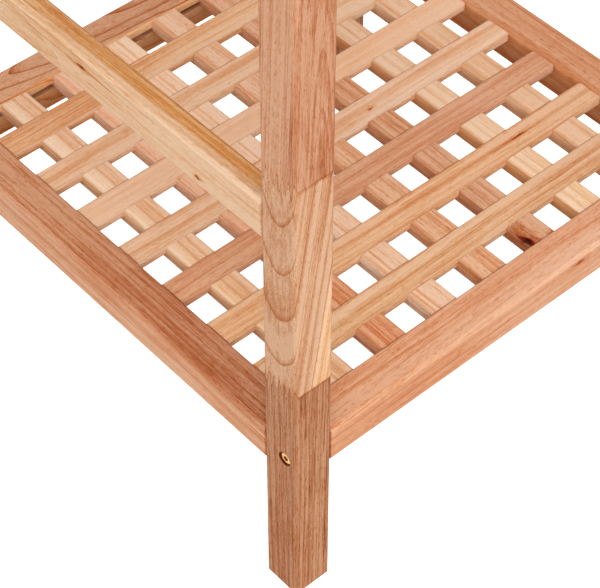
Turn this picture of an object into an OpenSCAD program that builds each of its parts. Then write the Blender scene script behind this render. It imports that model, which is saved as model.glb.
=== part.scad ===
// Wooden luggage rack with a lattice shelf.
// Two glued side frames (left and right) are joined by bolted front and back rails.
// +X is to the right, +Y to the back, +Z up. The origin is on the floor, under the middle.

/* [Overall] */
// Width over the posts, left to right
rack_w = 418; // [408:1:440]
// Depth over the posts, front to back
rack_d = 415; // [408:1:440]
// Height over the top rails
rack_h = 555; // [535:1:600]

/* [Posts and rails] */
// Side of the square stick that posts and rails are cut from
stock = 30; // [28:0.5:32]
// Rounding along the edges of a post
post_round = 2.5; // [1:0.5:4]
// Rounding along the edges of a rail
rail_round = 3; // [1:0.5:4]
// Height of the shelf rails' top face above the floor
shelf_top = 153; // [130:1:175]
// Height of the middle side rails' top face above the floor
mid_rail_top = 357; // [320:1:360]
// Thickness of the middle side rails
mid_rail_t = 18; // [16:1:20]

/* [Lattice] */
// Width of every slat
slat_w = 23; // [18:0.5:24]
// Distance from one slat to the next
slat_pitch = 47; // [44:0.5:48]
// Thickness of the bearer slats, front to back
bearer_t = 11; // [9:0.5:13]
// Thickness of the cross slats, left to right
cross_t = 6; // [4:0.5:7]
// How far the slats lie below the rails' top face
slat_drop = 1.5; // [0:0.5:3]
// How far the bearers sit to the left of the middle
bearer_shift = 3; // [0:0.5:4]
// How far the cross slats sit to the front of the middle
cross_shift = 1.5; // [0:0.5:3]
// Gap between the cross slats' free ends and the right rail
cross_end_gap = 0.4; // [0.2:0.1:1]

/* [Finger joints in the posts] */
// Height of the joint between a post's lower and middle lengths
lower_joint = 208; // [195:1:220]
// Height of the joint between a post's middle and upper lengths
upper_joint = 384; // [375:1:400]
// Distance from one finger to the next
finger_pitch = 4.7; // [4:0.1:6]
// Length of a finger
finger_l = 11; // [8:0.5:12]

/* [Fittings] */
// Thread diameter of the connector bolts
bolt_d = 6; // [5:1:6]
// Height of the bolts below a rail's top face
bolt_drop = 13.5; // [12:0.5:15]
// Distance of the bolts from the front or back face
bolt_inset = 10.5; // [10:0.5:11]
// Diameter of the wooden dowels
dowel_d = 8; // [6:1:8]

/* [Hidden] */
$fn = 48;

inner_w = rack_w - 2 * stock;
inner_d = rack_d - 2 * stock;
slat_count = 7;
slat_round = 1;
slat_end_round = 3;
tenon_t = bearer_t - cross_t;
tenon_l = 8;
finger_tip = 0.8;
finger_start = 3.5;
glue_gap = 0.1;

head_d = 9.2;
head_t = 3.2;
head_sink = 0.8;
head_chamfer = 0.6;
recess_d = 10;
socket_af = 4;
socket_l = 2.4;
bolt_clearance = 1;
nut_d = 10;
nut_l = 16;
nut_setback = 22;
nut_slot_w = 1.4;
nut_slot_l = 1.6;
bolt_l = stock + nut_setback + nut_d / 2 + 2;
bolt_bore_l = nut_setback + nut_d / 2 + 6;

dowel_chamfer = 0.8;
dowel_in_post = 14;
dowel_in_rail = 22;
end_dowel_inset = 21.5;
end_dowel_drop = 18;
side_dowel_inset = 9;
side_dowel_spread = 7;
overcut = 1;

// Wood tones, from the darkest stick to the palest
RED = [0.66, 0.41, 0.28];
ROSE = [0.78, 0.53, 0.39];
TAN = [0.82, 0.60, 0.41];
PALE = [0.88, 0.71, 0.54];
CREAM = [0.92, 0.79, 0.61];
BRASS = [0.80, 0.62, 0.34];
STEEL = [0.66, 0.67, 0.69];
BEECH = [0.85, 0.72, 0.55];
BEARER_TONES = [PALE, ROSE, CREAM, PALE, RED, CREAM, TAN];
CROSS_TONES = [TAN, PALE, RED, ROSE, TAN, CREAM, TAN];
POST_TONES = [RED, TAN, ROSE];

CORNERS = ["front_left", "front_right", "back_left", "back_right"];
LENGTHS = ["lower", "middle", "upper"];
LEVELS = ["shelf", "top"];
LEVEL_TOPS = [shelf_top, rack_h];
SIDES = ["left", "right"];
ENDS = ["front", "back"];

function bearer_x(i) = (i - (slat_count - 1) / 2) * slat_pitch - bearer_shift;
function cross_y(i) = (i - (slat_count - 1) / 2) * slat_pitch - cross_shift;
function is_right(corner) = corner % 2 == 1;
function is_back(corner) = corner >= 2;

// ---- Shared shapes ----

// Rectangle with rounded corners, centred
module eased_rect(w, h, r) {
    square([w - 2 * r, h], center = true);
    square([w, h - 2 * r], center = true);
    for (x = [-1, 1], y = [-1, 1])
        translate([x * (w / 2 - r), y * (h / 2 - r)]) circle(r);
}

// Stick along X: w is its size in Y, h its size in Z
module stick_x(l, w, h, r) {
    rotate([90, 0, 90]) linear_extrude(l, center = true) eased_rect(w, h, r);
}

// Stick along Y: w is its size in X, h its size in Z
module stick_y(l, w, h, r) {
    rotate([90, 0, 0]) linear_extrude(l, center = true) eased_rect(w, h, r);
}

// Round bar along X that starts at the origin
module bar_x(l, d) {
    rotate([0, 90, 0]) cylinder(h = l, d = d);
}

// Round bar along Y that starts at the origin
module bar_y(l, d) {
    rotate([-90, 0, 0]) cylinder(h = l, d = d);
}

module mirrored(direction, on) {
    if (on)
        mirror(direction) children();
    else
        children();
}

// Puts a child at a corner of the rack. The child is drawn from the outer corner of the
// front left post, with the rack towards +X and +Y.
module at_corner(corner) {
    mirrored([0, 1, 0], is_back(corner))
        mirrored([1, 0, 0], is_right(corner))
            translate([-rack_w / 2, -rack_d / 2, 0]) children();
}

// ---- Fittings ----

// Hex-socket bolt with a round flat head, along +X from the post's outer face
module connector_bolt() {
    r = head_d / 2;
    difference() {
        translate([head_sink, 0, 0]) rotate([0, 90, 0]) rotate_extrude()
            polygon([
                [0, 0], [r - head_chamfer, 0], [r, head_chamfer], [r, head_t],
                [bolt_d / 2, head_t], [bolt_d / 2, bolt_l - head_sink], [0, bolt_l - head_sink]
            ]);
        translate([head_sink - overcut, 0, 0]) rotate([0, 90, 0])
            cylinder(h = socket_l + overcut, d = socket_af / cos(30), $fn = 6);
    }
}

// Steel cross dowel that a connector bolt screws into, upright and centred
module barrel_nut() {
    difference() {
        cylinder(h = nut_l, d = nut_d, center = true);
        translate([-nut_d, 0, 0]) bar_x(2 * nut_d, bolt_d + glue_gap);
        translate([0, 0, -nut_l / 2]) cube([nut_slot_w, 2 * nut_d, 2 * nut_slot_l], center = true);
    }
}

// Wooden dowel along +Z, from the origin
module dowel() {
    l = dowel_in_post + dowel_in_rail;
    r = dowel_d / 2;
    rotate_extrude()
        polygon([
            [0, 0], [r - dowel_chamfer, 0], [r, dowel_chamfer],
            [r, l - dowel_chamfer], [r - dowel_chamfer, l], [0, l]
        ]);
}

module connector_bolts() color(BRASS)
    for (corner = [0 : 3], top = LEVEL_TOPS)
        at_corner(corner) translate([0, bolt_inset, top - bolt_drop]) connector_bolt();

module barrel_nuts() color(STEEL)
    for (corner = [0 : 3], top = LEVEL_TOPS)
        at_corner(corner) translate([stock + nut_setback, bolt_inset, top - bolt_drop]) barrel_nut();

// Dowels that keep a bolted rail from turning, one at each end
module end_dowels() color(BEECH)
    for (corner = [0 : 3], top = LEVEL_TOPS)
        at_corner(corner)
            translate([stock - dowel_in_post, end_dowel_inset, top - end_dowel_drop])
                rotate([0, 90, 0]) dowel();

// Two glued dowels at each end of every side rail
module side_dowels() color(BEECH)
    for (corner = [0 : 3], top = [shelf_top, mid_rail_top, rack_h], z = [-1, 1])
        at_corner(corner)
            translate([side_dowel_inset, stock - dowel_in_post, top - stock / 2 + z * side_dowel_spread])
                rotate([-90, 0, 0]) dowel();

// ---- Bores, drawn from the outer corner of the front left post ----

module bolt_bores(top) {
    translate([-overcut, bolt_inset, top - bolt_drop]) {
        bar_x(overcut + stock + bolt_bore_l, bolt_d + bolt_clearance);
        bar_x(overcut + head_sink + head_t, recess_d);
    }
}

module end_dowel_bore(top) {
    translate([stock - dowel_in_post, end_dowel_inset, top - end_dowel_drop])
        bar_x(dowel_in_post + dowel_in_rail, dowel_d + glue_gap);
}

module side_dowel_bores(top) {
    for (z = [-1, 1])
        translate([side_dowel_inset, stock - dowel_in_post, top - stock / 2 + z * side_dowel_spread])
            bar_y(dowel_in_post + dowel_in_rail, dowel_d + glue_gap);
}

// Blind bore for the barrel nut, from the rail's underside
module nut_bore(top) {
    translate([stock + nut_setback, bolt_inset, top - stock - overcut])
        cylinder(h = overcut + stock - bolt_drop + nut_l / 2, d = nut_d + glue_gap);
}

// ---- Posts ----

// Zig-zag line of a finger joint, as [y, z] points that run past both faces of the post
function finger_line(z) = [
    for (i = [-1 : ceil(stock / finger_pitch)])
        let (y = finger_start + i * finger_pitch, half = finger_pitch / 2)
            each [
                [y - finger_tip / 2, z - finger_l / 2],
                [y + finger_tip / 2, z - finger_l / 2],
                [y + half - finger_tip / 2, z + finger_l / 2],
                [y + half + finger_tip / 2, z + finger_l / 2]
            ]
];

function flat_line(z) = [[-finger_pitch, z], [stock + 2 * finger_pitch, z]];

function reversed(points) = [for (i = [len(points) - 1 : -1 : 0]) points[i]];

POST_LINES = [flat_line(0), finger_line(lower_joint), finger_line(upper_joint), flat_line(rack_h)];

// One length of the front left post: 0 is the lower, 1 the middle and 2 the upper
module post_length(k) {
    difference() {
        intersection() {
            translate([stock / 2, stock / 2, 0])
                linear_extrude(rack_h) eased_rect(stock, stock, post_round);
            translate([-overcut, 0, 0]) rotate([90, 0, 90]) linear_extrude(stock + 2 * overcut)
                polygon(concat(POST_LINES[k], reversed(POST_LINES[k + 1])));
        }
        for (top = LEVEL_TOPS) {
            bolt_bores(top);
            end_dowel_bore(top);
        }
        for (top = [shelf_top, mid_rail_top, rack_h]) side_dowel_bores(top);
    }
}

module post(corner, k) color(POST_TONES[k]) at_corner(corner) post_length(k);

// ---- Rails ----

// Front or back rail of a lattice frame, bolted between the side frames.
// The slot along its inner face takes the tenons of the bearers.
module bolted_rail(top, back) color(ROSE)
    difference() {
        mirrored([0, 1, 0], back) translate([0, (stock - rack_d) / 2, top - stock / 2])
            stick_x(inner_w, stock, stock, rail_round);
        mirrored([0, 1, 0], back)
            translate([-rack_w / 2, stock - rack_d / 2 - tenon_l, top - slat_drop - bearer_t])
                cube([rack_w, 2 * tenon_l, tenon_t]);
        for (right = [0, 1]) at_corner(right + (back ? 2 : 0)) {
            bolt_bores(top);
            end_dowel_bore(top);
            nut_bore(top);
        }
    }

// Left or right rail, glued into its side frame: t is its thickness
module side_rail(top, t, right) color(top == mid_rail_top ? CREAM : RED)
    difference() {
        mirrored([1, 0, 0], right) translate([(t - rack_w) / 2, 0, top - stock / 2])
            stick_y(inner_d, t, stock, rail_round);
        for (back = [0, 1]) at_corner(2 * back + (right ? 1 : 0)) side_dowel_bores(top);
    }

// ---- Slats ----

// Bearer slat, front to back, notched for the cross slats and with a tenon at each end
module bearer(top, i) color(BEARER_TONES[i])
    translate([bearer_x(i), 0, top - slat_drop - bearer_t])
        difference() {
            union() {
                translate([0, 0, bearer_t / 2]) stick_y(inner_d, slat_w, bearer_t, slat_round);
                translate([0, 0, tenon_t / 2])
                    cube([slat_w - 2 * slat_round, inner_d + 2 * tenon_l, tenon_t], center = true);
            }
            for (j = [0 : slat_count - 1])
                translate([-slat_w, cross_y(j) - slat_w / 2, tenon_t])
                    cube([2 * slat_w, slat_w, cross_t + overcut]);
        }

// Outline of a cross slat seen from above: square at the left end, rounded at the right
module cross_outline() {
    l = inner_w - cross_end_gap;
    r = slat_end_round;
    translate([-inner_w / 2, -slat_w / 2]) square([l - r, slat_w]);
    translate([-inner_w / 2, -slat_w / 2 + r]) square([l, slat_w - 2 * r]);
    for (y = [-1, 1])
        translate([l - r - inner_w / 2, y * (slat_w / 2 - r)]) circle(r);
}

// Cross slat, left to right, let in flush with the top of the bearers
module cross_slat(top, i) color(CROSS_TONES[i])
    translate([0, cross_y(i), top - slat_drop - cross_t])
        intersection() {
            translate([0, 0, cross_t / 2]) stick_x(rack_w, slat_w, cross_t, slat_round);
            linear_extrude(cross_t) cross_outline();
        }

// ---- The rack ----

for (corner = [0 : 3], k = [0 : 2])
    post(corner, k);

for (level = [0, 1], end = [0, 1])
    bolted_rail(LEVEL_TOPS[level], end == 1);

for (level = [0, 1], side = [0, 1])
    side_rail(LEVEL_TOPS[level], stock, side == 1);

for (side = [0, 1])
    side_rail(mid_rail_top, mid_rail_t, side == 1);

for (level = [0, 1], i = [0 : slat_count - 1])
    bearer(LEVEL_TOPS[level], i);

for (level = [0, 1], i = [0 : slat_count - 1])
    cross_slat(LEVEL_TOPS[level], i);

connector_bolts();
barrel_nuts();
end_dowels();
side_dowels();
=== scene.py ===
"""Looks for the wooden luggage rack: oiled hardwood sticks, brass bolts, soft studio light.

Every stick is cut from a model log. Its material works out how far each point lies from the log's
pith, so growth rings run straight on one face, arch on the next and circle on the end grain.
"""

import math

import bpy
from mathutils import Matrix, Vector


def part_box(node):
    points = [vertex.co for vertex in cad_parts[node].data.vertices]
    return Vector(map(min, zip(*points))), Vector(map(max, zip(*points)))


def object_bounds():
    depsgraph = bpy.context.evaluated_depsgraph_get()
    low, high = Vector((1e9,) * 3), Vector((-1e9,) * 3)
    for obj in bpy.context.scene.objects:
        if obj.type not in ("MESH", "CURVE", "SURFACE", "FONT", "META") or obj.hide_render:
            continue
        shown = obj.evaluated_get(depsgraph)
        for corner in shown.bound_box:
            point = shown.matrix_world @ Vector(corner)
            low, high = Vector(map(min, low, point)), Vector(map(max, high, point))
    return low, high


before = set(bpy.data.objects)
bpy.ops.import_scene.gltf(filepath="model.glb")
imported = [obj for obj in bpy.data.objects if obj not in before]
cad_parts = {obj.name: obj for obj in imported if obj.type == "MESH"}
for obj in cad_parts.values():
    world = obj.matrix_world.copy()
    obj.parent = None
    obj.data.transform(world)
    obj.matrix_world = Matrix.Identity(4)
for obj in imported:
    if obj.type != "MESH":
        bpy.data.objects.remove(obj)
cad_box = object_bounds()

MM = 0.001

# Finger joints of the posts, in mm: the zig-zag's pitch, first tip, flat tips and length, and
# how far from the glue line its colour starts and is full
FINGER_PITCH = 4.7
FINGER_START = 3.5
FINGER_TIP = 0.8
FINGER_LENGTH = 11.0
GLUE_SPAN = (2.4, 0.4)
GLUE_DEPTH = 0.35
POST_FACE_Y = cad_box[1][1] / MM

# The bolt heads in the posts, in mm. The shade painted in the recess round each head lies a little off
# its centre, towards the post's middle and down.
HEAD_RADIUS = 4.6
SHADE_RADIUS = 5.6
SHADE_SOFT = 0.7
SHADE_OFF = (0.6, 0.3)
SHADE_DEPTH = 1.8

# ---------------------------------------------------------------- shader tools


def linear(rgb):
    """An sRGB colour of 0 to 255 as linear RGBA."""
    def channel(value):
        share = value / 255
        return share / 12.92 if share <= 0.04045 else ((share + 0.055) / 1.055) ** 2.4
    return tuple(channel(value) for value in rgb) + (1.0,)


class Shader:
    """Short calls that build the node tree of one material."""

    def __init__(self, name):
        self.material = bpy.data.materials.new(name)
        self.material.use_nodes = True
        self.tree = self.material.node_tree
        self.tree.nodes.clear()
        self.surface = self.tree.nodes.new("ShaderNodeBsdfPrincipled")
        output = self.tree.nodes.new("ShaderNodeOutputMaterial")
        self.tree.links.new(self.surface.outputs["BSDF"], output.inputs["Surface"])

    def plug(self, socket, value):
        """Links value to the socket if it is a node's output, and sets it there if it is not."""
        if isinstance(value, bpy.types.NodeSocket):
            self.tree.links.new(value, socket)
        else:
            socket.default_value = value

    def set(self, name, value):
        self.plug(self.surface.inputs[name], value)

    def node(self, kind, **settings):
        made = self.tree.nodes.new(kind)
        for name, value in settings.items():
            setattr(made, name, value)
        return made

    def math(self, operation, a, b=0.0, clamp=False):
        made = self.node("ShaderNodeMath", operation=operation, use_clamp=clamp)
        self.plug(made.inputs[0], a)
        self.plug(made.inputs[1], b)
        return made.outputs[0]

    def add(self, a, b):
        return self.math("ADD", a, b)

    def times(self, a, b):
        return self.math("MULTIPLY", a, b)

    def less(self, a, b):
        return self.math("SUBTRACT", a, b)

    def rise(self, value, low, high):
        """0 below low and 1 above high, with a smooth step between. low may be the larger."""
        made = self.node("ShaderNodeMapRange", interpolation_type="SMOOTHSTEP")
        for socket, given in zip(made.inputs, (value, low, high, 0.0, 1.0)):
            self.plug(socket, given)
        return made.outputs[0]

    def vector(self, operation, a, b):
        made = self.node("ShaderNodeVectorMath", operation=operation)
        self.plug(made.inputs[0], a)
        self.plug(made.inputs[1], b)
        return made.outputs[0]

    def join(self, x, y, z):
        made = self.node("ShaderNodeCombineXYZ")
        for socket, given in zip(made.inputs, (x, y, z)):
            self.plug(socket, given)
        return made.outputs[0]

    def split(self, vector):
        made = self.node("ShaderNodeSeparateXYZ")
        self.plug(made.inputs[0], vector)
        return made.outputs

    def noise(self, place, across, along, seed, detail=2.0, roughness=0.5):
        """Noise whose features are across mm wide and along mm long, centred on 0."""
        stretched = self.vector("MULTIPLY", place, (1 / across, 1 / across, 1 / along))
        moved = self.vector("ADD", stretched, (7.3 * seed, 3.1 * seed, 5.7 * seed))
        made = self.node("ShaderNodeTexNoise")
        self.plug(made.inputs["Vector"], moved)
        self.plug(made.inputs["Scale"], 1.0)
        self.plug(made.inputs["Detail"], detail)
        self.plug(made.inputs["Roughness"], roughness)
        return self.less(made.outputs["Fac"], 0.5)

    def line_noise(self, value, seed):
        """Noise along one number, centred on 0."""
        made = self.node("ShaderNodeTexNoise", noise_dimensions="1D")
        self.plug(made.inputs["W"], self.add(value, 13.7 * seed))
        self.plug(made.inputs["Scale"], 1.0)
        self.plug(made.inputs["Detail"], 3.0)
        self.plug(made.inputs["Roughness"], 0.6)
        return self.less(made.outputs["Fac"], 0.5)

    def mix(self, share, a, b):
        """Colour a where share is 0 and colour b where it is 1."""
        made = self.node("ShaderNodeMix", data_type="RGBA")
        self.plug(made.inputs[0], share)
        self.plug(made.inputs[6], a)
        self.plug(made.inputs[7], b)
        return made.outputs[2]

    def bump(self, height, depth):
        """Relief of depth, in metres, for each unit of height."""
        made = self.node("ShaderNodeBump")
        self.plug(made.inputs["Height"], height)
        made.inputs["Distance"].default_value = depth
        made.inputs["Strength"].default_value = 1.0
        self.set("Normal", made.outputs[0])


# ---------------------------------------------------------------- wood
#
# Each stick is described in its own frame: u and v lie across the grain and w along it, in mm
# from the stick's middle. For a stick along X, (u, v, w) is (y, z, x). For one along Y it is
# (x, z, y), and for an upright one (x, y, z).

GRAIN_ORDER = {0: (1, 2, 0), 1: (0, 2, 1), 2: (0, 1, 2)}

# Width and length of each kind of mark, in mm
STREAK_SIZE = (2.6, 170.0)
FIBRE_SIZE = (0.9, 45.0)
LINE_SIZE = (1.0, 60.0)
LINE_PATCH_SIZE = (9.0, 70.0)
FLECK_SIZE = (0.75, 5.0)
PORE_SIZE = (0.33, 2.6)
MOTTLE_SIZE = (5.0, 9.0)
CLOUD_SIZE = (30.0, 110.0)
WANDER_SIZE = (30.0, 170.0)
WORN_SIZE = (3.0, 14.0)

# Noise below the first number gives none of the mark, and above the second all of it
LINE_STEP = (0.06, 0.20)
LINE_PATCH_STEP = (-0.12, 0.14)
FLECK_STEP = (0.05, 0.20)
PORE_STEP = (0.08, 0.18)
WORN_STEP = (-0.2, 0.2)

# Depth of colour that a stick has before its marks are added, and the least that they leave
CLEAR_DEPTH = 0.84
LEAST_DEPTH = 0.76

# Depth that end grain adds, depth of painted shade on the long edges, depth that worn edges lose, and
# the share and colour of painted shade mixed in on the edges
END_DEPTH = 0.3
PAINTED_EDGE_SHADE = 0.12
EDGE_WEAR = 0.12
PAINTED_EDGE_SHADE_SHARE = 0.16
PAINTED_EDGE_SHADE_COLOUR = (0.16, 0.10, 0.065, 1.0)

# Distances from an end, an edge or a face, in mm, at which its colour starts and is full
END_SPAN = (0.8, 0.1)
EDGE_SPAN = (2.2, 0.2)
SIDE_SPAN = (1.0, 0.2)
INNER_SPAN = (1.2, 0.2)

# How ragged a knot's outline is, the noise it takes it from, and how far, in mm, a cloud shifts
# the change from one end's colour to the other's
KNOT_RAGGED = 1.6
KNOT_SEED = 12
FAR_SHIFT = 60.0

# A dull oil finish: gloss, and roughness with what fibres, pores and wear change in it
WOOD_IOR = 1.45
SHINE = 0.07
SHINE_TINT = (1.0, 0.72, 0.48, 1.0)
WOOD_ROUGHNESS = 0.6
FIBRE_ROUGHNESS = 0.25
PORE_ROUGHNESS = 0.2
WORN_SMOOTHNESS = 0.10

# Relief, in mm, of one pore, and the shares of it for a fibre and a fleck
PORE_RELIEF = 0.10
FIBRE_SHARE = 0.5
FLECK_SHARE = 0.4

PLAIN_STICK = {
    "tone": (222, 170, 130),    # middle colour, at the low end of w
    "far": None,                # middle colour at the high end, where it differs
    "contrast": 1.0,            # how strong all the marks are together
    "pith": (60.0, 90.0),       # where the log's pith lies, in u and v
    "slant": (0.0, 0.012),      # how much the grain drifts in u and v for each mm of w
    "wander": 5.0,              # how far the grain sways, in mm
    "ring": 5.0,                # width of a growth ring
    "phase": 0.0,               # where the first ring starts, from 0 to 1
    "ring_lines": 0.35,         # depth of the dark line that ends each ring
    "ring_edge": 6.0,           # higher gives thinner ring lines
    "bands": 1.3,               # this and the next seven are depths of the other wood_marks
    "streaks": 1.1,
    "fibres": 0.7,
    "lines": 0.5,
    "flecks": 0.3,
    "pores": 0.25,
    "mottle": 0.3,
    "cloud": 0.7,
    "side_shade": 0.0,               # extra depth of painted shade on the two faces across u, or painted light where negative
    "inner": None,              # colour of the face at the low end of u, where it differs: painted light on an inner face in shade
    "sap": None,                # colour of the wood further from the pith than sap_from
    "sap_from": 60.0,
    "sap_soft": 3.0,            # half the width of the change to sapwood, in mm
    "knots": (),
}


def grain_place(shader, centre, axis):
    """The stick's own u, v and w at each point."""
    coordinates = shader.node("ShaderNodeTexCoord").outputs["Object"]
    from_middle = shader.vector("SUBTRACT", coordinates, centre)
    in_mm = shader.vector("MULTIPLY", from_middle, (1 / MM, 1 / MM, 1 / MM))
    parts = shader.split(in_mm)
    return [parts[index] for index in GRAIN_ORDER[axis]]


def follow_grain(shader, u, v, w, look, seed):
    """u and v carried back along the grain, so that marks follow its slant, wander and knots."""
    place = shader.join(u, v, w)
    followed = []
    for side, across in enumerate((u, v)):
        drift = shader.times(w, look["slant"][side])
        sway = shader.times(shader.noise(place, *WANDER_SIZE, seed + 11 * side), look["wander"])
        followed.append(shader.add(shader.less(across, drift), sway))
    for spot in look["knots"]:
        near = knot_share(shader, u, v, w, spot, spot["spread"])
        followed[0] = shader.add(followed[0], shader.times(near, spot["push"]))
    return followed


def knot_share(shader, u, v, w, spot, spread):
    """1 in the middle of a knot, falling to 0 at a ragged outline spread times its size."""
    place = shader.join(u, v, w)
    off = shader.vector("SUBTRACT", place, spot["at"])
    reach = spot["size"] * spread
    scaled = shader.vector("DIVIDE", off, (reach, reach, reach * spot["long"]))
    length = shader.node("ShaderNodeVectorMath", operation="LENGTH")
    shader.plug(length.inputs[0], scaled)
    noise = shader.noise(place, spot["size"], spot["size"] * spot["long"], KNOT_SEED)
    ragged = shader.times(noise, KNOT_RAGGED)
    return shader.rise(shader.add(length.outputs["Value"], ragged), 1.0, 0.0)


def pith_distance(shader, across_u, across_v, look):
    """Distance from the log's pith, in mm."""
    off_u = shader.less(across_u, look["pith"][0])
    off_v = shader.less(across_v, look["pith"][1])
    return hypotenuse(shader, off_u, off_v)


def hypotenuse(shader, a, b):
    return shader.math("SQRT", shader.add(shader.times(a, a), shader.times(b, b)))


def edge_share(shader, at):
    """1 on the stick's long edges and 0 a little way in from them."""
    gap_u = shader.less(at["half"][0], shader.math("ABSOLUTE", at["u"]))
    gap_v = shader.less(at["half"][1], shader.math("ABSOLUTE", at["v"]))
    return shader.rise(shader.math("MAXIMUM", gap_u, gap_v), *EDGE_SPAN)


def stain(shader, tone, density):
    """The tone as seen through density times its own depth of colour: more is darker and redder."""
    parts = shader.node("ShaderNodeSeparateColor")
    shader.plug(parts.inputs[0], tone)
    joined = shader.node("ShaderNodeCombineColor")
    for socket, part in zip(joined.inputs, parts.outputs):
        shader.plug(socket, shader.math("POWER", part, density))
    return joined.outputs[0]


def post_place(shader):
    """How far each point of a post lies from the rack's middle along Y and from the floor, in mm."""
    parts = shader.split(shader.node("ShaderNodeTexCoord").outputs["Object"])
    from_middle = shader.times(shader.math("ABSOLUTE", parts[1]), 1 / MM)
    return from_middle, shader.times(parts[2], 1 / MM)


def glue_line(shader, joints):
    """1 on the zig-zag glue lines of a post's finger joints at these heights, in mm."""
    from_middle, height = post_place(shader)
    from_face = shader.less(POST_FACE_Y, from_middle)
    half = FINGER_PITCH / 2
    phase = shader.math("PINGPONG", shader.less(from_face, FINGER_START), half)
    run = half - FINGER_TIP
    rising = shader.math("DIVIDE", shader.less(phase, FINGER_TIP / 2), run, clamp=True)
    line = shader.times(shader.less(rising, 0.5), FINGER_LENGTH)
    near = None
    for joint in joints:
        gap = shader.math("ABSOLUTE", shader.less(shader.less(height, joint), line))
        near = gap if near is None else shader.math("MINIMUM", near, gap)
    return shader.rise(near, *GLUE_SPAN)


def bolt_shade(shader):
    """1 where shade is painted in the recess round each bolt head."""
    from_middle, height = post_place(shader)
    low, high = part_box("connector_bolts")
    off_y = shader.less(from_middle, high[1] / MM - HEAD_RADIUS - SHADE_OFF[0])
    off_low = shader.less(height, low[2] / MM + HEAD_RADIUS - SHADE_OFF[1])
    off_high = shader.less(height, high[2] / MM - HEAD_RADIUS - SHADE_OFF[1])
    off_z = shader.math("MINIMUM", shader.math("ABSOLUTE", off_low), shader.math("ABSOLUTE", off_high))
    return shader.rise(hypotenuse(shader, off_y, off_z), SHADE_RADIUS, SHADE_RADIUS - SHADE_SOFT)


def stick_places(shader, look, low, high, axis, seed):
    """Where each point of the stick lies, in the stick and in the grain."""
    u, v, w = grain_place(shader, tuple((low + high) / 2), axis)
    across_u, across_v = follow_grain(shader, u, v, w, look, seed)
    return {
        "half": [(high[i] - low[i]) / 2 / MM for i in GRAIN_ORDER[axis]],
        "u": u,
        "v": v,
        "w": w,
        "stick": shader.join(u, v, w),
        "grain": shader.join(across_u, across_v, w),
        "radius": pith_distance(shader, across_u, across_v, look),
    }


def wood_marks(shader, look, at, seed):
    """The marks of the wood, under the names of their depths in the look."""
    grain = at["grain"]
    rings = shader.add(shader.math("DIVIDE", at["radius"], look["ring"]), look["phase"])
    patches = shader.rise(shader.noise(at["stick"], *LINE_PATCH_SIZE, seed + 6), *LINE_PATCH_STEP)
    lines = shader.rise(shader.noise(grain, *LINE_SIZE, seed + 7), *LINE_STEP)
    return {
        "bands": shader.line_noise(rings, seed),
        "streaks": shader.noise(grain, *STREAK_SIZE, seed + 2, detail=3.0, roughness=0.6),
        "fibres": shader.noise(grain, *FIBRE_SIZE, seed + 1, detail=3.0, roughness=0.6),
        "mottle": shader.noise(grain, *MOTTLE_SIZE, seed + 3, detail=3.0, roughness=0.7),
        "cloud": shader.noise(at["stick"], *CLOUD_SIZE, seed + 4),
        "lines": shader.times(lines, patches),
        "flecks": shader.rise(shader.noise(grain, *FLECK_SIZE, seed + 8, detail=1.0), *FLECK_STEP),
        "pores": shader.rise(shader.noise(grain, *PORE_SIZE, seed + 9, detail=1.0), *PORE_STEP),
        "ring_lines": shader.math("POWER", shader.math("FRACT", rings), look["ring_edge"]),
    }


def wood_depth(shader, look, at, marks, joints):
    """Depth of colour from the marks, knots, joints, end grain and the painted shade round the bolt
    heads.
    """
    depth = CLEAR_DEPTH
    for mark, value in marks.items():
        depth = shader.add(depth, shader.times(value, look[mark] * look["contrast"]))
    for spot in look["knots"]:
        core = knot_share(shader, at["u"], at["v"], at["w"], spot, 1.0)
        halo = knot_share(shader, at["u"], at["v"], at["w"], spot, spot["spread"])
        added = shader.add(shader.times(core, spot["depth"]), shader.times(halo, spot["halo"]))
        depth = shader.add(depth, added)
    if joints:
        depth = shader.add(depth, shader.times(glue_line(shader, joints), GLUE_DEPTH))
        # Painted shade in the recess round each bolt head
        depth = shader.add(depth, shader.times(bolt_shade(shader), SHADE_DEPTH))
    to_end = shader.less(at["half"][2], shader.math("ABSOLUTE", at["w"]))
    return shader.add(depth, shader.times(shader.rise(to_end, *END_SPAN), END_DEPTH))


def side_shade_depth(shader, look, at, depth):
    """depth with the extra depth of painted shade on the two faces across u, or painted light where it
    is negative.
    """
    if not look["side_shade"]:
        return depth
    starts, full = (at["half"][0] - gap for gap in SIDE_SPAN)
    side = shader.rise(shader.math("ABSOLUTE", at["u"]), starts, full)
    return shader.add(depth, shader.times(side, look["side_shade"]))


def wood_tone(shader, look, at, cloud):
    """Colour of the wood, with painted light on an inner face where the look gives one, which its depth
    then darkens.
    """
    tone = linear(look["tone"])
    if look["far"]:
        half = at["half"][2]
        along = shader.rise(shader.add(at["w"], shader.times(cloud, FAR_SHIFT)), -half, half)
        tone = shader.mix(along, tone, linear(look["far"]))
    if look["sap"]:
        starts = look["sap_from"] - look["sap_soft"]
        full = look["sap_from"] + look["sap_soft"]
        tone = shader.mix(shader.rise(at["radius"], starts, full), tone, linear(look["sap"]))
    # Painted light: a lighter colour on the face at the low end of u
    if look["inner"]:
        starts, full = (gap - at["half"][0] for gap in INNER_SPAN)
        tone = shader.mix(shader.rise(at["u"], starts, full), tone, linear(look["inner"]))
    return tone


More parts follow.
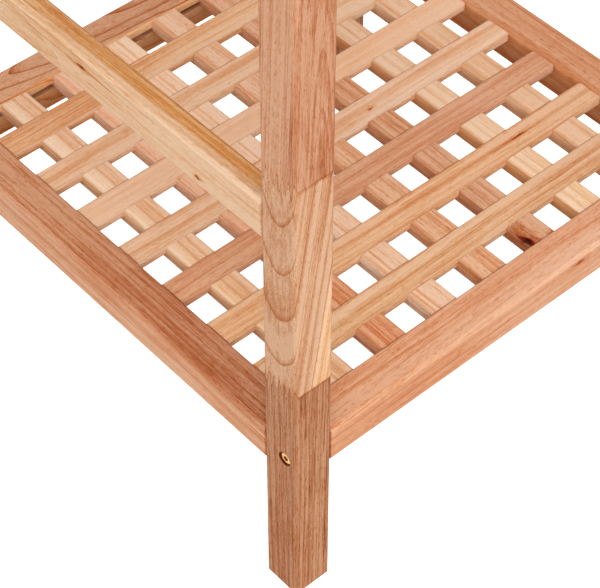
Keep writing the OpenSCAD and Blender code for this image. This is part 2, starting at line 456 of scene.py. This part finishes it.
def wood_finish(shader, marks, worn):
    """Gloss, roughness and relief of a dull oil finish."""
    rough_fibres = shader.times(marks["fibres"], FIBRE_ROUGHNESS)
    rough_pores = shader.times(marks["pores"], PORE_ROUGHNESS)
    rough = shader.add(WOOD_ROUGHNESS, shader.add(rough_fibres, rough_pores))
    shader.set("Roughness", shader.less(rough, shader.times(worn, WORN_SMOOTHNESS)))
    shader.surface.inputs["IOR"].default_value = WOOD_IOR
    shader.surface.inputs["Specular IOR Level"].default_value = SHINE
    shader.surface.inputs["Specular Tint"].default_value = SHINE_TINT
    hollows = shader.add(marks["pores"], shader.times(marks["flecks"], FLECK_SHARE))
    height = shader.less(shader.times(marks["fibres"], FIBRE_SHARE), hollows)
    shader.bump(height, PORE_RELIEF * MM)


def wood(name, look, low, high, axis, seed, joints=()):
    """Material of one stick that spans low to high, with its grain along axis."""
    look = {**PLAIN_STICK, **look}
    shader = Shader(name)
    at = stick_places(shader, look, low, high, axis, seed)
    marks = wood_marks(shader, look, at, seed)
    edge = edge_share(shader, at)
    worn = shader.times(edge, shader.rise(shader.noise(at["stick"], *WORN_SIZE, seed + 10), *WORN_STEP))
    # Painted shade darkens the long edges, which catch more light where they are rounded; worn patches
    # on them are lighter
    edge_shade_and_wear = shader.less(shader.times(edge, PAINTED_EDGE_SHADE), shader.times(worn, EDGE_WEAR))
    depth = shader.add(wood_depth(shader, look, at, marks, joints), edge_shade_and_wear)
    # Painted shade on the two faces across u, or painted light where it is negative
    depth = side_shade_depth(shader, look, at, shader.math("MAXIMUM", depth, LEAST_DEPTH))
    stained = stain(shader, wood_tone(shader, look, at, marks["cloud"]), depth)
    # Painted shade: the long edges are mixed towards a dark brown
    shader.set("Base Color", shader.mix(shader.times(edge, PAINTED_EDGE_SHADE_SHARE), stained, PAINTED_EDGE_SHADE_COLOUR))
    wood_finish(shader, marks, worn)
    return shader.material


# ---------------------------------------------------------------- metals

# Sizes of the marks on metal, in mm
TARNISH_SIZE = (1.6, 1.6)
SCRATCH_SIZE = (0.3, 2.5)
SCRATCH_RELIEF = 0.02

TARNISH_SEED = 3
SCRATCH_SEED = 9
TARNISH_STEP = (-0.05, 0.25)
TARNISH_ROUGHNESS = 0.3
SCRATCH_ROUGHNESS = 0.2


def metal(name, colour, tarnished, roughness):
    """Plated metal with a little tarnish and handling scratches."""
    shader = Shader(name)
    coordinates = shader.node("ShaderNodeTexCoord").outputs["Object"]
    in_mm = shader.vector("MULTIPLY", coordinates, (1 / MM, 1 / MM, 1 / MM))
    tarnish = shader.noise(in_mm, *TARNISH_SIZE, TARNISH_SEED, detail=4.0, roughness=0.6)
    scratches = shader.noise(in_mm, *SCRATCH_SIZE, SCRATCH_SEED)
    share = shader.rise(tarnish, *TARNISH_STEP)
    shader.set("Base Color", shader.mix(share, linear(colour), linear(tarnished)))
    shader.set("Metallic", 1.0)
    rough_tarnish = shader.times(tarnish, TARNISH_ROUGHNESS)
    rough_scratches = shader.times(scratches, SCRATCH_ROUGHNESS)
    shader.set("Roughness", shader.add(roughness, shader.add(rough_tarnish, rough_scratches)))
    shader.bump(scratches, SCRATCH_RELIEF * MM)
    return shader.material


# ---------------------------------------------------------------- which stick looks like what


def knot(at, size, long=2.0, depth=3.0, push=3.0, spread=2.6, halo=0.5):
    """A knot at (u, v, w), size wide and long times that along the grain, which it pushes aside.

    Its halo and its push reach spread times as far as its dark core.
    """
    return {"at": at, "size": size, "long": long, "depth": depth, "push": push, "spread": spread,
            "halo": halo}


# The three woods that each post is joined from
LOWER = {
    "tone": (178, 123, 87), "pith": (70.0, 60.0), "ring": 3.0, "ring_lines": 0.45, "bands": 0.5,
    "streaks": 0.7, "lines": 1.3, "fibres": 1.0, "wander": 3.0, "slant": (0.008, 0.004),
}
MIDDLE = {
    "tone": (207, 159, 123), "pith": (-54.0, 0.0), "slant": (0.15, 0.0), "ring": 6.0, "phase": 0.825,
    "ring_lines": 0.9, "ring_edge": 14.0, "bands": 1.5, "flecks": 0.25, "pores": 0.5, "mottle": 0.1,
    "wander": 1.5, "lines": 0.5, "fibres": 0.5, "streaks": 1.5,
    "sap": (230, 188, 146), "sap_from": 67.0, "sap_soft": 3.0,
}
UPPER = {
    "tone": (192, 134, 99), "sap": (205, 150, 114), "sap_from": 23.0, "sap_soft": 4.0,
    "pith": (4.0, -26.0), "slant": (0.0, -0.05), "ring": 2.0, "phase": 0.2,
    "ring_lines": 0.25, "ring_edge": 3.0, "bands": 0.9, "streaks": 1.3, "wander": 2.5, "flecks": 0.2,
}
POSTS = {"lower": LOWER, "middle": MIDDLE, "upper": UPPER}

RAILS = {
    "shelf_front_rail": {
        "tone": (213, 150, 110), "far": (221, 168, 134), "pith": (-30.0, 75.0), "slant": (0.03, 0.02),
        "flecks": 0.45, "streaks": 1.3, "contrast": 0.8, "bands": 0.6, "ring": 8.0, "ring_lines": 0.5,
        "phase": 0.45,
        "knots": (knot((-15.0, 9.0, 50.0), 1.6, long=3.5, depth=2.0),),
    },
    "shelf_left_rail": {
        "tone": (182, 116, 80), "far": (196, 134, 96), "pith": (62.0, 34.0), "ring": 4.0,
        "sap": (217, 162, 126), "sap_from": 79.5, "sap_soft": 1.5,
        "streaks": 1.1, "bands": 0.8, "cloud": 1.4, "lines": 0.7, "fibres": 0.5, "ring_lines": 0.4,
    },
    "shelf_right_rail": {
        "tone": (207, 142, 102), "far": (214, 151, 110), "streaks": 0.8, "contrast": 0.6, "flecks": 0.6,
        # Painted light: a lighter, more orange inner face
        "inner": (220, 151, 100),
    },
    "shelf_back_rail": {
        "tone": (203, 143, 105), "far": (202, 142, 104), "pith": (30.0, 48.0), "slant": (0.02, -0.14),
        # Painted light: a lighter inner face
        "inner": (234, 179, 126), "sap": (211, 153, 112), "sap_from": 58.0, "sap_soft": 5.0,
        "ring": 8.0, "ring_lines": 1.2, "ring_edge": 9.0, "wander": 26.0, "bands": 0.5, "streaks": 0.6,
        "mottle": 0.1,
    },
    "middle_left_rail": {
        "tone": (225, 172, 115), "far": (214, 157, 104), "pith": (60.0, -4.0), "slant": (-0.012, 0.0),
        "ring": 7.0, "sap": (228, 188, 149), "sap_from": 66.5, "sap_soft": 0.9, "flecks": 0.4,
        "cloud": 1.1, "bands": 0.9, "streaks": 1.9, "fibres": 0.5, "lines": 1.0, "wander": 5.0,
        "knots": (knot((-9.0, 5.3, -10.9), 1.5, long=4.5, depth=5.0),
                  knot((-9.0, 4.8, -34.0), 0.6, long=45.0, depth=1.6, push=0.0, halo=0.2),
                  knot((-9.0, -7.5, -121.1), 1.3, long=2.0, depth=6.0)),
    },
    "middle_right_rail": {"tone": (226, 182, 140), "far": (216, 164, 122), "pith": (-40.0, 30.0)},
}

# Extra depth of painted shade on a bearer's two vertical faces, where its own look says nothing else
BEARER_SIDE_SHADE = 0.12

# The shelf's bearers, from left to right
# Some bearers set their own painted shade on their vertical faces, or painted light where the value is
# negative
BEARERS = (
    {"tone": (226, 178, 138), "far": (232, 188, 152), "sap": (240, 204, 168), "sap_from": 92.0,
     "pith": (70.0, 60.0), "ring_lines": 0.5, "lines": 0.8, "side_shade": 0.3},
    {"tone": (212, 142, 100), "far": (236, 182, 146), "streaks": 1.3, "side_shade": -0.12},
    {"tone": (228, 182, 146), "far": (242, 202, 168), "contrast": 1.2, "bands": 1.7, "side_shade": -0.2},
    {"tone": (218, 162, 121), "far": (234, 187, 151), "flecks": 0.5},
    {"tone": (206, 149, 111), "far": (223, 166, 127), "wander": 9.0, "bands": 1.3, "ring_lines": 0.5,
     "knots": (knot((-9.5, 5.5, -173.0), 3.6, long=2.4, depth=7.0, push=7.0, spread=3.4, halo=0.9),
               knot((8.5, 5.5, -179.0), 1.8, long=1.6, depth=3.0, push=-2.0))},
    {"tone": (235, 198, 160), "far": (230, 185, 148), "contrast": 0.85, "side_shade": 0.8},
    {"tone": (225, 178, 140), "far": (237, 194, 157), "contrast": 0.8},
)

# The shelf's cross slats, from front to back
CROSS_SLATS = (
    {"tone": (224, 176, 133), "far": (217, 167, 126), "ring_lines": 0.5, "lines": 0.9,
     "slant": (0.02, 0.0)},
    {"tone": (224, 170, 125), "far": (224, 171, 129), "slant": (-0.02, 0.01), "streaks": 1.3,
     "knots": (knot((0.8, 3.0, 105.8), 1.0, long=11.0, depth=2.2, push=1.0),)},
    {"tone": (209, 148, 109), "far": (213, 152, 115), "contrast": 0.7, "flecks": 0.35, "cloud": 1.3},
    {"tone": (225, 177, 139), "far": (236, 193, 159),
     "knots": (knot((-1.8, 3.0, 44.0), 1.3, long=2.2, depth=2.0, push=2.5),)},
    {"tone": (229, 180, 142), "far": (239, 188, 148), "contrast": 0.6, "ring_lines": 0.15},
    {"tone": (226, 178, 139), "far": (237, 194, 156), "contrast": 0.9},
    {"tone": (222, 166, 121), "far": (237, 190, 147), "streaks": 1.4, "ring_lines": 0.5},
)

# Middle colours that the sticks outside the photograph share out between them, and how far
# round the list the colour of a stick's other end lies
FAR_TONE_STEP = 3
OTHER_TONES = ((214, 154, 116), (222, 172, 128), (190, 130, 94), (232, 186, 148), (224, 168, 124),
               (206, 146, 108), (236, 196, 156))


def look_of(name, number):
    """A node's look. Mirrored posts and the top lattice repeat the kinds of wood that show."""
    for length, look in POSTS.items():
        if name.endswith("_post_" + length):
            return look if name.startswith("front_left") else turned(look, number)
    if name in RAILS:
        return RAILS[name]
    kind, _, position = name.rpartition("_")
    side_shade = BEARER_SIDE_SHADE if "_bearer_" in name else 0.0
    sticks = {"shelf_bearer": BEARERS, "shelf_cross_slat": CROSS_SLATS}.get(kind)
    if sticks:
        return {"side_shade": side_shade, **sticks[int(position) - 1]}
    tone = OTHER_TONES[number % len(OTHER_TONES)]
    far = OTHER_TONES[(number + FAR_TONE_STEP) % len(OTHER_TONES)]
    return turned({"tone": tone, "far": far, "side_shade": side_shade}, number)


# Steps, from one stick to the next, of the pith's direction in radians and its distance in mm,
# and the most that the grain slants
TURN_STEP = 2.4
PITH_NEAREST = 55.0
PITH_STEP = 9.0
PITH_STEPS = 5
TURNED_SLANT = 0.05


def turned(look, number):
    """The same kind of wood cut from another place in the log."""
    angle = TURN_STEP * number
    reach = PITH_NEAREST + PITH_STEP * (number % PITH_STEPS)
    slant = (TURNED_SLANT * math.sin(3 * angle), TURNED_SLANT * math.cos(2 * angle))
    return {**look, "pith": (reach * math.cos(angle), reach * math.sin(angle)), "slant": slant}


def grain_axis(low, high):
    """The stick's longest direction."""
    size = high - low
    return max(range(3), key=lambda i: size[i])


def finger_joints(name):
    """Heights of the finger joints at the ends of a post's length, in mm."""
    corner, _, length = name.rpartition("_")
    joint = {}
    for lower in ("lower", "middle"):
        joint[lower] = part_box(corner + "_" + lower)[1][2] / MM - FINGER_LENGTH / 2
    ends = {"lower": ("lower",), "middle": ("lower", "middle"), "upper": ("middle",)}
    return [joint[end] for end in ends[length]]


def dress_wood():
    """Gives every wooden node a material of its own."""
    for number, (name, stick) in enumerate(sorted(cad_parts.items())):
        if name in FITTINGS:
            continue
        low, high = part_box(name)
        joints = finger_joints(name) if "_post_" in name else ()
        material = wood(name + "_wood", look_of(name, number), low, high, grain_axis(low, high),
                        number + 1, joints)
        stick.data.materials.clear()
        stick.data.materials.append(material)


FITTINGS = ("connector_bolts", "barrel_nuts", "end_dowels", "side_dowels")
DOWEL_AXIS = 1
DOWEL_SEED = 77


def dress_fittings():
    """Gives the bolts, barrel nuts and dowels their materials."""
    brass = metal("brass", (214, 172, 104), (150, 108, 58), 0.34)
    zinc = metal("zinc", (176, 178, 182), (120, 122, 126), 0.40)
    dowel_look = {"tone": (224, 192, 150), "contrast": 0.6, "ring_lines": 0.1}
    low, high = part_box("side_dowels")
    beech = wood("beech", dowel_look, low, high, DOWEL_AXIS, DOWEL_SEED)
    for name, material in zip(FITTINGS, (brass, zinc, beech, beech)):
        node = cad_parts[name]
        node.data.materials.clear()
        node.data.materials.append(material)


# ---------------------------------------------------------------- stage, light and camera

# The dome's colours, and half the height of the blend between them
DOME_ABOVE = (0.97, 0.97, 0.97)
DOME_BELOW = (0.24, 0.10, 0.01)
HORIZON = 0.25

# The floor's glow, roughness and greys, and its half-width, drop and mottling in metres
FLOOR_GLOW = 0.75
FLOOR_ROUGHNESS = 0.9
FLOOR_GREYS = (0.90, 0.93)
FLOOR_REACH = 6.0
FLOOR_DROP = 0.2 * MM
SPECKLE_SIZE = 0.02


def make_floor():
    """A pale floor that glows a little, just under the feet. It shows in gloss and lights nothing."""
    mesh = bpy.data.meshes.new("floor")
    turns = ((-1, -1), (1, -1), (1, 1), (-1, 1))
    corners = [(x * FLOOR_REACH, y * FLOOR_REACH, -FLOOR_DROP) for x, y in turns]
    mesh.from_pydata(corners, [], [(0, 1, 2, 3)])
    floor = bpy.data.objects.new("floor", mesh)
    bpy.context.scene.collection.objects.link(floor)
    shader = Shader("floor_paint")
    coordinates = shader.node("ShaderNodeTexCoord").outputs["Object"]
    speckle = shader.noise(coordinates, SPECKLE_SIZE, SPECKLE_SIZE, 1)
    darker, lighter = ((grey, grey, grey, 1.0) for grey in FLOOR_GREYS)
    shader.set("Base Color", shader.mix(shader.add(0.5, speckle), darker, lighter))
    shader.surface.inputs["Roughness"].default_value = FLOOR_ROUGHNESS
    shader.surface.inputs["Emission Color"].default_value = (1, 1, 1, 1)
    shader.surface.inputs["Emission Strength"].default_value = FLOOR_GLOW
    mesh.materials.append(shader.material)
    floor.visible_diffuse = False


def make_light(name, place, aim, size, power):
    """A square soft box, size metres wide."""
    lamp = bpy.data.lights.new(name, "AREA")
    lamp.shape = "SQUARE"
    lamp.size = size
    lamp.energy = power
    holder = bpy.data.objects.new(name, lamp)
    holder.location = place
    holder.rotation_euler = (Vector(aim) - Vector(place)).to_track_quat("-Z", "Y").to_euler()
    bpy.context.scene.collection.objects.link(holder)


def make_world():
    """A white studio dome above, and the dimmer, warmer light of wood and floor from below."""
    world = bpy.data.worlds.new("studio")
    world.use_nodes = True
    tree = world.node_tree
    height = tree.nodes.new("ShaderNodeSeparateXYZ")
    tree.links.new(tree.nodes.new("ShaderNodeTexCoord").outputs["Generated"], height.inputs[0])
    share = tree.nodes.new("ShaderNodeMapRange")
    share.inputs["From Min"].default_value = -HORIZON
    share.inputs["From Max"].default_value = HORIZON
    tree.links.new(height.outputs["Z"], share.inputs["Value"])
    blend = tree.nodes.new("ShaderNodeMix")
    blend.data_type = "RGBA"
    blend.inputs[6].default_value = DOME_BELOW + (1.0,)
    blend.inputs[7].default_value = DOME_ABOVE + (1.0,)
    tree.links.new(share.outputs["Result"], blend.inputs[0])
    tree.links.new(blend.outputs[2], tree.nodes["Background"].inputs["Color"])
    bpy.context.scene.world = world


# Where the camera stands, in metres, where it looks, in degrees, and its lens and sensor, in mm
CAMERA_PLACE = (-0.7545, -0.8269, 1.2163)
CAMERA_AZIMUTH = 48.45
CAMERA_DIP = 47.85
CAMERA_LENS = 128.4
SENSOR = 36.0


def make_camera():
    """The photograph's own view: azimuth from +X towards +Y, and dip below the horizontal."""
    camera = bpy.data.cameras.new("camera")
    camera.lens = CAMERA_LENS
    camera.sensor_fit = "HORIZONTAL"
    camera.sensor_width = SENSOR
    camera.clip_end = 50.0
    holder = bpy.data.objects.new("camera", camera)
    holder.location = CAMERA_PLACE
    holder.rotation_euler = (math.radians(90 - CAMERA_DIP), 0, math.radians(CAMERA_AZIMUTH - 90))
    bpy.context.scene.collection.objects.link(holder)
    bpy.context.scene.camera = holder


dress_wood()
dress_fittings()
make_floor()
make_world()
make_light("key", place=(-1.0, -1.85, 2.45), aim=(0, 0, 0.2), size=3.0, power=43)
make_light("fill", place=(-1.9, -2.4, 0.5), aim=(0, 0, 0.3), size=1.0, power=32)
make_camera()
bpy.context.scene.view_settings.view_transform = "Standard"
bpy.context.scene.view_settings.look = "None"
